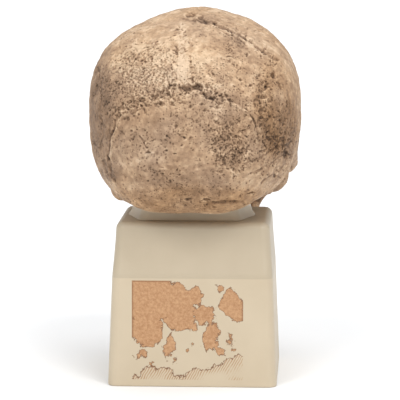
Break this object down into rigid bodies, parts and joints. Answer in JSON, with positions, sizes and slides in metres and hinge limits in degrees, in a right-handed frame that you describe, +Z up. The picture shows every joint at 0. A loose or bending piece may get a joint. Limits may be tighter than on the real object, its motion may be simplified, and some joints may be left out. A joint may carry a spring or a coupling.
{
  "type": "fossil hominin skull cast on a plinth",
  "caption": "Life-size cast of a fossil hominin cranium without its lower jaw, seated on a tapered block plinth: heavy brow ridge, wide orbits, long low vault.",
  "frame": {"origin": "centre of the model's bounding box, on the underside of the plinth", "axes": "+Z up, face towards -Y, back of the skull towards +Y, the skull's left side towards +X"},
  "size_m": [0.133, 0.1876, 0.2336],
  "materials": {
    "fossil_bone": "matt painted cast: mottled tan and grey-brown fossil bone",
    "plinth_plastic": "satin cream moulding"
  },
  "bodies": {
    "root": {"frontal_bone": "fossil_bone", "parietal_bone_left": "fossil_bone", "parietal_bone_right": "fossil_bone", "occipital_bone": "fossil_bone", "temporal_bone_left": "fossil_bone", "temporal_bone_right": "fossil_bone", "sphenoid_and_base": "fossil_bone", "zygomatic_bone_left": "fossil_bone", "zygomatic_bone_right": "fossil_bone", "nasal_bones": "fossil_bone", "maxilla_left": "fossil_bone", "maxilla_right": "fossil_bone", "plinth": "plinth_plastic", "plinth_post": "plinth_plastic"}
  },
  "joints": []
}
